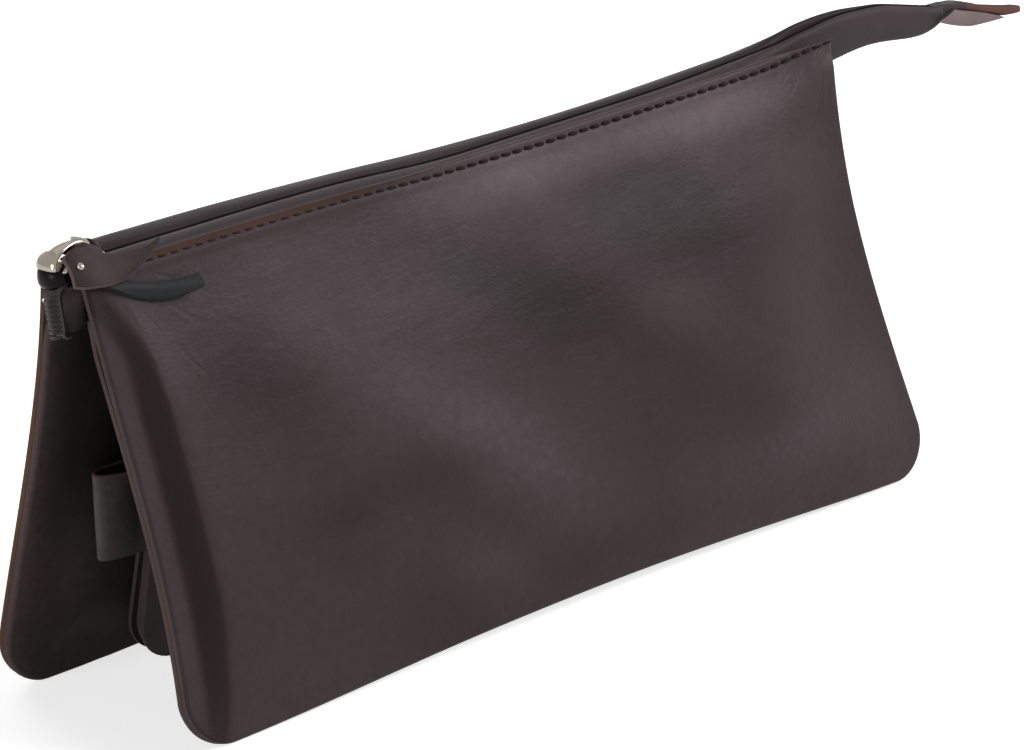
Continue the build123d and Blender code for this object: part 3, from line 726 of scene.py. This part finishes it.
# ---- Zip ----
# Two woven nylon tapes, each with a nylon coil sewn along its edge, and a metal stop at the open end of each
# coil. The tapes are sewn under the facings, and they can be seen between the slider and the facings.
nylon = leather_finish("coil_nylon", (0.048, 0.036, 0.033), (0.034, 0.026, 0.024), 0.32, 0.1, 0)
coil_pitch, rib_scale, pick_scale = 1.3, 900, 700


def ramped(tree, share, first, second, start=0.0, end=1.0):
    """A colour that goes from the first to the second between two shares."""
    ramp = shader(tree, "ValToRGB", {"Fac": share})
    low, high = ramp.color_ramp.elements
    low.position, high.position = start, end
    low.color, high.color = (*first, 1), (*second, 1)
    return ramp.outputs[0]


def weave(name, dark, light):
    """A plain weave: ribs along the tape, picks across it, and the yarn darker between them."""
    finish, tree, place = new_finish(name)
    ribs = shader(tree, "TexWave", {"Vector": place, "Scale": rib_scale, "Distortion": 0.6})
    ribs.bands_direction = "Y"
    picks = shader(tree, "TexWave", {"Vector": place, "Scale": pick_scale})
    picks.bands_direction = "X"
    woven = reckoned(tree, "MULTIPLY", ribs.outputs["Fac"], picks.outputs["Fac"])
    wire(tree, tree.nodes["Principled BSDF"], {
        "Base Color": ramped(tree, woven, dark, light), "Roughness": 0.8, "Sheen Weight": 0.15,
        "Normal": bumped(tree, woven, 0.08 * mm, 0.5)})
    return finish


def refinish(node, finish):
    """Gives a solid that stays in view its finish."""
    materials = frame["nodes"][node].data.materials
    materials.clear()
    materials.append(finish)


tape_weave = weave("tape_weave", (0.010, 0.008, 0.008), (0.030, 0.023, 0.021))
refinish("front_zip_tape", tape_weave)
refinish("back_zip_tape", tape_weave)


def zip_coil(side, label):
    """A nylon filament wound flat, with a head on each turn that reaches for the other coil."""
    node = f"{label}_zip_coil"
    low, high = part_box(node)
    turns = int((high.x - low.x) / mm / coil_pitch)
    steps = np.linspace(0, turns * 2 * pi, turns * 12 + 1)
    half_wide, half_tall = (high.y - low.y) / mm / 2 - 0.25, (high.z - low.z) / mm / 2 - 0.3
    x = from_middle(low.x) + 0.4 + steps * coil_pitch / (2 * pi)
    y = side * (abs(low.y + high.y) / mm / 2) - side * half_wide * np.cos(steps)
    z = (low.z + high.z) / mm / 2 + half_tall * np.sin(steps)
    thick = 0.25 + 0.10 * ease((np.cos(steps) - 0.5) * 2)
    thread_runs(f"{label}_coil_filament", [(on_pouch(x, y, z), thick)], nylon, "zip_top", [node])


for side, label in both_sides:
    zip_coil(side, label)


# ---- Closed end of the zip ----
# The tape turns down over the pouch's end under the slider and hooks back in, pulled a little towards the
# front lobe. Its last nine coil heads show as slanting bars, and the tapes' ends are melted into a bead that
# is painted nearly black, as painted shade for the slider's dark mouth.
melted_nylon_painted_shade = leather_finish("melted_nylon_painted_shade", (0.012, 0.008, 0.007), (0.007, 0.004, 0.004), 0.2, 0.1, 0)
end_low, end_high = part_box("zip_end_tape")
end_face = from_middle(end_low.x)
end_top, end_foot = end_high.z / mm, end_low.z / mm + 1.7
tape_inset = (end_high.x - end_low.x) / mm
tape_bend, tape_half, tape_thick = 1.6, 2.15, 0.45
end_heads, bead_half = 9, 3.5


def fuller(wave, power):
    """A wave with squarer shoulders, for rounded rectangles."""
    return np.sign(wave) * np.abs(wave) ** power


def end_lean(z):
    return -1.5 - 0.9 * ease((end_top - z) / (end_top - end_foot))


def turned_tape():
    turn = np.linspace(0, pi / 2, 9)
    over = [(end_face + tape_inset - 0.2, end_top)]
    over += [(end_face + tape_bend - tape_bend * sin(a), end_top - tape_bend + tape_bend * cos(a))
             for a in turn]
    down = [(end_face, z) for z in np.linspace(end_top - 2.4, end_foot + 2.6, 12)]
    hook = [(end_face + deep, end_foot + rise)
            for deep, rise in ((0.15, 1.9), (0.6, 1.3), (1.3, 1.0), (2.1, 1.0))]
    rings = []
    path = np.array(over + down + hook)
    for (x, z), (dx, dz) in zip(path, unit(np.gradient(path, axis=0))):
        half, edge = tape_half - 0.8 * ease((end_foot + 2.6 - z) / 1.6), tape_thick - 0.1
        outline = [(-half, 0.1), (-half, edge), (-half + 0.15, tape_thick), (half - 0.15, tape_thick),
                   (half, edge), (half, 0.1), (half - 0.15, 0), (-half + 0.15, 0)]
        rings.append([on_pouch(x - dz * inward, y + end_lean(z), z - dx * inward) for y, inward in outline])
    tubes("turned_zip_tape", [rings], (tape_weave,), "zip_top", ["zip_end_tape"])


def turned_teeth():
    heights = np.linspace(end_top - 1.7, end_foot + 0.9, end_heads)
    runs = []
    for z in heights:
        share = np.linspace(-1, 1, 9)
        y = share * 1.8 + end_lean(z)
        bowed = 0.25 * share ** 2
        half = 0.29 * np.sqrt(1.02 - share ** 2) + 0.04 * (share < 0)
        runs.append((on_pouch(end_face - 0.3 + bowed, y, z - 0.5 * share + 0.2 * share ** 2), half))
    thread_runs("turned_zip_teeth", runs, nylon, "zip_top", ["zip_end_teeth"])


def sealed_end():
    """Both tapes' ends, rolled over and melted into one smooth bead under the slider's nose, nearly black:
    painted shade.
    """
    rings = []
    turn = ring_turns(16)
    for y in np.linspace(-bead_half, bead_half, 21):
        share = abs(y / bead_half)
        z = end_top + 1.25 + (1.75 - 0.45 * share ** 3) * fuller(np.sin(turn), 0.7)
        rings.append(on_pouch(end_face + 0.6 + 1.7 * share ** 2.6 + 0.75 * np.cos(turn), y, z))
    tubes("zip_sealed_end", [rings], (melted_nylon_painted_shade,), "zip_top", (), 60)


turned_tape()
turned_teeth()
sealed_end()


# ---- Ridge strip ----
# A soft strip of lining leather under the coils, where both inner panels meet. Its end is gathered round the
# turned tape on both sides, and closes the pouch's corner under the slider.
ridge_low, ridge_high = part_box("ridge_strip")


def ridge():
    base, top = ridge_low.z / mm, ridge_high.z / mm
    left, right = from_middle(ridge_low.x) + 2.2, from_middle(ridge_high.x)
    rings = []
    for x in np.linspace(left, right, 90):
        sag = 0.15 * sin(x * 0.11) + 0.1 * sin(x * 0.27)
        outline = [(-3.0, base + 0.3), (-3.0, top - 0.35), (-2.6, top), (2.6, top), (3.0, top - 0.35),
                   (3.0, base + 0.3), (2.6, base), (0.9, base - 0.25), (-0.9, base - 0.25), (-2.6, base)]
        rings.append(on_pouch(x, [y for y, z in outline], [z + sag for y, z in outline]))
    # The ridge takes the inner leather's nearly black dye with no painted light on it: painted shade.
    tubes("ridge_fold", [rings], (inner_leather_painted_shade,), "zip_top", ["ridge_strip"], 50)


def gathered_end(name, start, end, turn_in, crown):
    """The corner's gather: from the tape's edge to the lobe's side, in soft folds, tucked in at its top."""
    out, down = np.meshgrid(np.linspace(0, 1, 30), np.linspace(0, 1, 26))
    y = start + (end - start) * out + 0.35 * down * np.sign(end - start)
    x = end_face + 0.55 + turn_in * out ** 2 + 0.3 * np.sin(out * 7.5 + down * 5.0) * np.sin(out * pi)
    x = x + 1.6 * ease((0.18 - down) / 0.18) * (0.3 + out)
    top = end_top + crown * out
    foot = end_foot + 3.3 - 1.0 * np.sin(out * pi) - 0.5 * out
    z = top + (foot - top) * down
    face = on_pouch(x, y, z)
    flesh = on_pouch(x + 0.8, y, z)
    # The gather takes the inner leather's nearly black painted shade, and the attribute of painted light and
    # shade makes it paler towards its top.
    sheet(name, face, flesh, (inner_leather_painted_shade, flesh_leather, inner_leather_painted_shade), "zip_top", (),
          painted_light=0.35 * np.exp(-(down / 0.7) ** 2))


ridge()
gathered_end("front_corner_gather", -3.2, -5.0, 3.0, 0.2)
gathered_end("back_corner_gather", 0.2, 3.5, 4.4, -0.8)


# ---- Slider ----
# Cast zinc, polished and nickel plated: a shield-shaped top plate with a rounded nose, a lower plate, a post
# between them, and a broad arched crown for the thong. A thin spring of plain steel lies under the crown.
def metal_finish(name, colour, rough, brushed, marks):
    """Worn metal, in two close tones that are stretched along its brushing."""
    finish, tree, place = new_finish(name)
    worn = cloud(tree, place, marks, 5, 0.5, brushed)
    dull = [channel * 0.8 for channel in colour]
    wire(tree, tree.nodes["Principled BSDF"], {
        "Base Color": ramped(tree, worn, dull, colour, 0.3, 0.7), "Metallic": 1.0,
        "Roughness": spread(tree, worn, 0, 1, rough * 0.6, rough * 1.5),
        "Normal": bumped(tree, worn, 0.04 * mm, 0.5)})
    return finish


nickel = metal_finish("polished_nickel", (0.40, 0.355, 0.30), 0.13, (1, 1, 1), 300)
slider_low, slider_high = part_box("slider_body")
slider_left, slider_right = from_middle(slider_low.x), from_middle(slider_high.x)
plate_top, plate_thick = slider_high.z / mm, 1.2
lower_base = slider_low.z / mm


def slider_plate(base, droop):
    """A shield-shaped plate with round edges, narrower behind. droop lowers its nose."""
    rings = []
    turn = ring_turns(20)
    shares = [[0, 0.01, 0.03, 0.06, 0.1, 0.15], np.linspace(0.2, 0.93, 18), [0.96, 0.985, 1]]
    for share in np.concatenate(shares):
        nose = 1 - np.clip(share / 0.15, 0, 1)
        tail = np.clip((share - 0.93) / 0.07, 0, 1)
        half = (3.9 - 1.0 * ease((share - 0.45) / 0.5)) * (1 - 0.22 * nose ** 2) * (1 - 0.25 * tail ** 2)
        thick = plate_thick * (1 - 0.55 * nose ** 3) * (1 - 0.5 * tail ** 2)
        y = half * fuller(np.cos(turn), 0.45)
        z = base + plate_thick / 2 - droop * nose ** 1.6 + thick / 2 * fuller(np.sin(turn), 0.6)
        crowned = 0.18 * (1 - (y / half) ** 2) * (np.sin(turn) > 0) * (1 - nose)
        rings.append(on_pouch(slider_left + (slider_right - slider_left) * share, y, z + crowned))
    return rings


def slider_post():
    turn = ring_turns(16)
    heights = np.linspace(lower_base + plate_thick / 2, plate_top - plate_thick / 2, 8)
    return [on_pouch(slider_left + 2.6 + 2.0 * np.cos(turn), 0.72 * np.sin(turn), z) for z in heights]


def crown_arch():
    """A broad cap, low at the nose and rounded down at its other end, hollow where the thong passes."""
    line = np.array([(-0.9, -0.9), (-0.75, 0.1), (-0.1, 1.05), (1.2, 1.9), (2.9, 2.5), (4.8, 2.7),
                     (6.4, 2.45), (7.6, 1.8), (8.05, 0.9), (8.1, -0.1)])
    fine, knots = np.linspace(0, 1, 40), np.linspace(0, 1, len(line))
    x, z = [np.polyval(np.polyfit(knots, line[:, k], 6), fine) for k in (0, 1)]
    tangents = unit(np.stack([np.gradient(x), np.gradient(z)], -1))
    halves = 2.55 - 1.15 * ease(fine * 1.1)
    turn = ring_turns(20)
    rings = []
    for ahead, up, (run, climb), half in zip(x, z, tangents, halves):
        across = half * fuller(np.cos(turn), 0.6)
        rise = 0.48 * fuller(np.sin(turn), 0.8) + 0.22 * (1 - (across / half) ** 2) * (np.sin(turn) > 0)
        rings.append(on_pouch(slider_left + ahead - climb * rise, across, plate_top + up + run * rise))
    return rings


casting = [slider_plate(plate_top - plate_thick, 0.95), slider_plate(lower_base, -0.3), slider_post()]
tubes("slider_casting", casting, (nickel,), "slider", ["slider_body"])
tubes("slider_arch", [crown_arch()], (nickel,), "slider", ["slider_crown"])
steel = metal_finish("plain_steel", (0.60, 0.60, 0.61), 0.28, (0.06, 1, 1), 500)
refinish("slider_lock_spring", steel)
refinish("zip_stops", nickel)


# ---- Thong ----
# One soft strap drawn through the crown, with both ends brought to the front and held by a small rivet. The
# upper end is cut off on a slant and its cut edge shows pale. The lower end twists and hangs further down.
thong_finish = leather_finish("thong_leather", (0.054, 0.041, 0.037), (0.038, 0.029, 0.027), 0.45)
thong_dark = leather_finish("thong_underside", (0.026, 0.030, 0.029), (0.019, 0.023, 0.022))
thong_edge = leather_finish("thong_cut", (0.16, 0.12, 0.105), (0.10, 0.075, 0.065), 0.7, cut=True)
pivot = hinges["pull_swing"]["pos_m"]
pivot_x, pivot_z = from_middle(pivot[0]), pivot[2] / mm
thong_lean = radians(38)
strap_thick = 0.9
rivet_along, rivet_drop, rivet_half = -6.2, 1.6, 0.72


def on_thong(x, drop, out):
    """Points of the hanging strap: along the pouch, down from its top edge, and out towards the front."""
    return on_pouch(pivot_x + 3.1 + x, -3.6 - drop * sin(thong_lean) - out * cos(thong_lean),
                    pivot_z - 0.9 - drop * cos(thong_lean) + out * sin(thong_lean))


def strap_end(name, along, above, below, out, curl, finishes):
    """A strap end between two edges. along, above, below, out and curl are all given at the same stations."""
    fine = np.linspace(0, 1, 40)
    stations = np.linspace(0, 1, len(along))
    smooth = [gently(stations, values, 0.07)(fine) for values in (along, above, below, out, curl)]
    x, top, foot, stand, rolled = [values[None, :] for values in smooth]
    share = np.linspace(0, 1, 16)[:, None]
    drop = top + (foot - top) * share
    lift = stand + rolled * share ** 3 + 0.25 * np.sin(share * pi)
    face, flesh = on_thong(x, drop, lift), on_thong(x, drop, lift - strap_thick)
    sheet(name, face, flesh, finishes, "pull", (), 0.08)


def thong_loop():
    """The strap gathered through the crown, from the front, round under the arch and back over."""
    path = np.array([(2.6, -3.9, -2.0), (1.0, -3.6, -1.1), (-0.8, -2.9, -0.35), (-1.6, -1.6, 0.0),
                     (-1.7, 0.0, 0.05), (-1.3, 1.6, 0.0), (0.2, 2.5, 0.0), (2.0, 2.3, -0.1),
                     (3.6, 1.1, -0.2), (4.0, -0.6, -0.4), (3.6, -2.4, -1.2), (2.8, -3.6, -2.2)])
    knots, fine = np.linspace(0, 1, len(path)), np.linspace(0, 1, 60)
    line = np.stack([np.polyval(np.polyfit(knots, path[:, k], 8), fine) for k in range(3)], -1)
    tall = np.interp(fine, (0, 0.12, 0.3, 0.5, 0.75, 1), (2.6, 2.1, 0.75, 0.75, 0.9, 1.8))
    up = np.array([0, 0.25, 0.97])
    side = unit(np.cross(unit(np.gradient(line, axis=0)), up))
    turn = ring_turns(18)
    rings = []
    for k in range(len(fine)):
        crumple = 1 + 0.12 * np.sin(3 * turn + k * 0.35)
        offset = (side[k] * 0.62 * np.cos(turn)[:, None] + up * (tall[k] * np.sin(turn) * crumple)[:, None])
        point = line[k] + offset
        rings.append(on_pouch(pivot_x + point[:, 0], point[:, 1], pivot_z + point[:, 2]))
    tubes("thong_loop", [rings], (thong_finish,), "pull", ["thong_pull"], 60)


thong_loop()
strap_end("thong_upper_end", along=(-8.3, -7.0, -5.5, -4.0, -2.4, -0.8, 1.5, 4.5, 8.0, 11.8),
          above=(-0.6, -1.6, -2.0, -1.8, -0.9, 0.4, 1.4, 1.9, 1.8, 0.5),
          below=(4.2, 5.2, 5.7, 6.0, 6.3, 6.4, 6.2, 5.1, 3.4, 0.9),
          out=(0.5, 1.0, 1.2, 1.25, 1.2, 1.2, 1.3, 1.3, 1.5, 1.9),
          curl=(-0.8, -0.5, -0.2, 0.0, 0.2, 0.4, 0.7, 1.0, 0.9, 0.3),
          finishes=(thong_finish, thong_dark, thong_edge))
strap_end("thong_lower_end", along=(-6.8, -4.6, -2.6, -0.8, 3.0, 7.5, 12.5, 17.2),
          above=(0.4, 1.2, 3.0, 4.9, 6.2, 7.6, 8.5, 8.7), below=(4.0, 5.0, 6.0, 7.0, 9.1, 10.7, 11.4, 11.2),
          out=(0.3, 0.2, 0.1, -0.1, -0.2, -0.3, 0.1, 0.6), curl=(0.0, 0.0, 0.1, 0.2, -0.8, -1.2, -0.6, 0.2),
          finishes=(thong_dark, thong_dark, thong_dark))


def rivet():
    """A small domed rivet through both ends of the strap, near the crown."""
    rings = []
    turn = ring_turns(18)
    for share in np.linspace(0, 1, 8):
        half, out = rivet_half * sqrt(1.0 - share ** 2) + 0.02, 1.35 + 0.5 * share
        rings.append(on_thong(rivet_along + half * np.cos(turn), rivet_drop + half * np.sin(turn), out - 0.1))
    tubes("thong_rivet", [rings], (nickel,), "pull", ["thong_pin"], 60)


rivet()


# ---- Keeper band ----
# A loop of thin leather between the lobes, sewn to the back lobe's lining. It is folded shut at the closed
# end, where its lower corner hangs away from the lobe, and its cut edges are raw and brown.
# The band's dark dye is nearly black: painted shade between the lobes. The attribute of painted light and
# shade makes its folded end pale, as painted light.
band_finish = leather_finish("band_leather", (0.105, 0.092, 0.087), (0.014, 0.011, 0.010), 0.55, reads_painted_light=True)
band_cut = leather_finish("band_cut", (0.11, 0.062, 0.044), (0.07, 0.042, 0.034), 0.75, cut=True)
band_drops, band_half = (37.9, 54.4), 83.0
band_inner, band_outer = 4.75, 11.15
band_thick, tack_half = 1.0, 0.3


def keeper_band():
    room = (band_outer - band_inner) / 2
    turn = np.linspace(-pi / 2, pi / 2, 15)
    run = np.linspace(-(band_half - room), band_half - room, 60)
    path = [(x, 0.0) for x in run]
    path += [(band_half - room + room * cos(a), room + room * sin(a)) for a in turn[1:]]
    path += [(x, 2 * room) for x in run[::-1][1:]]
    path += [(-(band_half - room) - room * cos(a), room - room * sin(a)) for a in turn[1:-1]]
    path = np.array(path)
    along = np.roll(path, -1, 0) - np.roll(path, 1, 0)
    inward = unit(np.stack([-along[:, 1], along[:, 0]], -1))
    outline = np.array([(0, 0.012), (0.2, 0), (0.8, 0), (1, 0.012), (1, 0.5), (1, 0.988), (0.8, 1), (0.2, 1),
                        (0, 0.988), (0, 0.5)])
    depth_share, drop_share = outline[:, 0], outline[:, 1]
    drop = band_drops[0] + (band_drops[1] - band_drops[0]) * drop_share
    rings = []
    for (x, deep), (ix, iy) in zip(path, inward):
        px = x + ix * band_thick * depth_share
        out = band_inner + deep + iy * band_thick * depth_share
        shut = ease((10 - band_half - px) / 9)
        pinch = 0.55 * shut * (out - band_inner - 0.7)
        hang = 2.6 * shut * drop_share - pinch
        bow = 0.25 * np.sin(drop_share * pi) * (1 if deep > room else -0.4)
        rings.append(on_lobe(back, px - (1.9 - 1.0 * drop_share) * shut, drop, -(out + hang + bow)))
    # Painted light: pale at the folded end beyond -77 mm, nearly black painted shade further in.
    lit = ease((-77.0 - path[:, 0]) / 4) * 0.8
    tubes("keeper_band_loop", [rings], (band_finish, band_cut), "back_lobe", ["keeper_band"],
          50, [1, 1, 1, 0, 0, 1, 1, 1, 0, 0], False, np.repeat(lit, len(outline)).astype(np.float32))


def band_tacks():
    runs = []
    steps = np.linspace(-1, 1, 7)
    out = -band_inner + 0.12
    for middle in (-30, 0, 30):
        for half in (-1, 1):
            for share in (-0.3, 0.3):
                x = middle + half * stitch_pitch / 2 + steps
                drop = sum(band_drops) / 2 + share * (band_drops[1] - band_drops[0])
                runs.append((on_lobe(back, x, drop, out), tack_half * np.sqrt(1.05 - steps ** 2)))
    thread_runs("band_tacks", runs, thread_finish, "back_lobe", ["keeper_stitches"])


keeper_band()
band_tacks()


# ---- Tool wallet ----
# Two sides of soft leather round a thin welt, closed at the left and open at the right for the tools. The
# sides stand a little apart at the lower left corner, and strips between them keep the tools in their slots.
wallet_finish = leather_finish("wallet_leather", (0.125, 0.092, 0.094), (0.092, 0.069, 0.070))
wallet_cut = leather_finish("wallet_cut", (0.055, 0.041, 0.041), (0.040, 0.031, 0.031), 0.7, cut=True)
wallet_left, wallet_right = -72.0, 72.0
wallet_drops, wallet_corner = (22.6, 80.4), 9.0
side_depths = (6.05, 8.95)
wallet_thick = 0.9


def wallet_side(name, node, depth, outward):
    corner = wallet_corner * (1 - np.cos(np.linspace(0, pi / 2, 12)))
    top, foot = wallet_drops
    drops = np.concatenate([top + corner, np.linspace(top + 10, foot - 10, 30), (foot - corner)[::-1]])
    drop, columns = drops[:, None], graded(90, 0.6)
    near = np.clip(wallet_corner - np.minimum(drop - top, foot - drop), 0, wallet_corner)
    left = wallet_left + wallet_corner - np.sqrt(np.maximum(wallet_corner ** 2 - near ** 2, 0))
    x = left + (wallet_right - left) * columns
    middle = np.sin(pi * (drop - top) / (foot - top))
    open_corner = ease((-58 - x) / 16) * ease((drop - 52) / 24)
    puff = outward * (0.12 * middle * np.sin(pi * columns) + 0.35 * open_corner)
    near, far = depth - puff, depth + wallet_thick - puff
    face, flesh = (near, far) if outward > 0 else (far, near)
    sheet(name, on_lobe(back, x, drop, -face), on_lobe(back, x, drop, -flesh),
          (wallet_finish, flesh_leather, wallet_cut), "wallet", [node], 0.1)


wallet_side("wallet_inner_side", "wallet_back", side_depths[0], 1)
wallet_side("wallet_outer_side", "wallet_front", side_depths[1], -1)


def wallet_edge():
    """The welt between the sides, set back a little from their edge all round."""
    turn = np.linspace(0, pi / 2, 10)
    inset = 0.7
    radius = wallet_corner - inset
    top, foot = wallet_drops[0] + inset, wallet_drops[1] - inset
    left = wallet_left + inset
    path = [(wallet_right - 0.3, top)]
    path += [(x, top) for x in np.linspace(wallet_right - 4, left + radius, 24)]
    path += [(left + radius - radius * sin(a), top + radius - radius * cos(a)) for a in turn[1:]]
    path += [(left, drop) for drop in np.linspace(top + radius, foot - radius, 12)[1:]]
    path += [(left + radius - radius * cos(a), foot - radius + radius * sin(a)) for a in turn[1:]]
    path += [(x, foot) for x in np.linspace(left + radius, wallet_right - 0.3, 24)[1:]]
    path = np.array(path)
    along = unit(np.gradient(path, axis=0))
    inward = np.stack([along[:, 1], -along[:, 0]], -1)
    inward *= np.sign(np.sum(inward * (np.array([0, sum(wallet_drops) / 2]) - path), 1)[:, None])
    near, far = side_depths[0] + wallet_thick + 0.03, side_depths[1] - 0.03
    rings = []
    for point, turned in zip(path, inward):
        ring = [(0.25, near), (0.0, near + 0.4), (0.0, far - 0.4), (0.25, far), (3.2, far), (3.2, near)]
        rings.append([on_lobe(back, point[0] + turned[0] * deep, point[1] + turned[1] * deep, -depth)
                      for deep, depth in ring])
    tubes("wallet_welt_strip", [rings], (wallet_cut,), "wallet", ["wallet_welt"], 50)


wallet_edge()
refinish("wallet_dividers", flesh_leather)


# ---- Tools ----
# Slim steel tools: a file with a cross-cut face, a cuticle pusher and tweezers. The last two are brushed
# along their length.
file_steel = metal_finish("cut_file_steel", (0.52, 0.52, 0.53), 0.42, (1, 1, 1), 2200)
refinish("nail_file", file_steel)
refinish("cuticle_pusher", steel)
refinish("tweezers", steel)
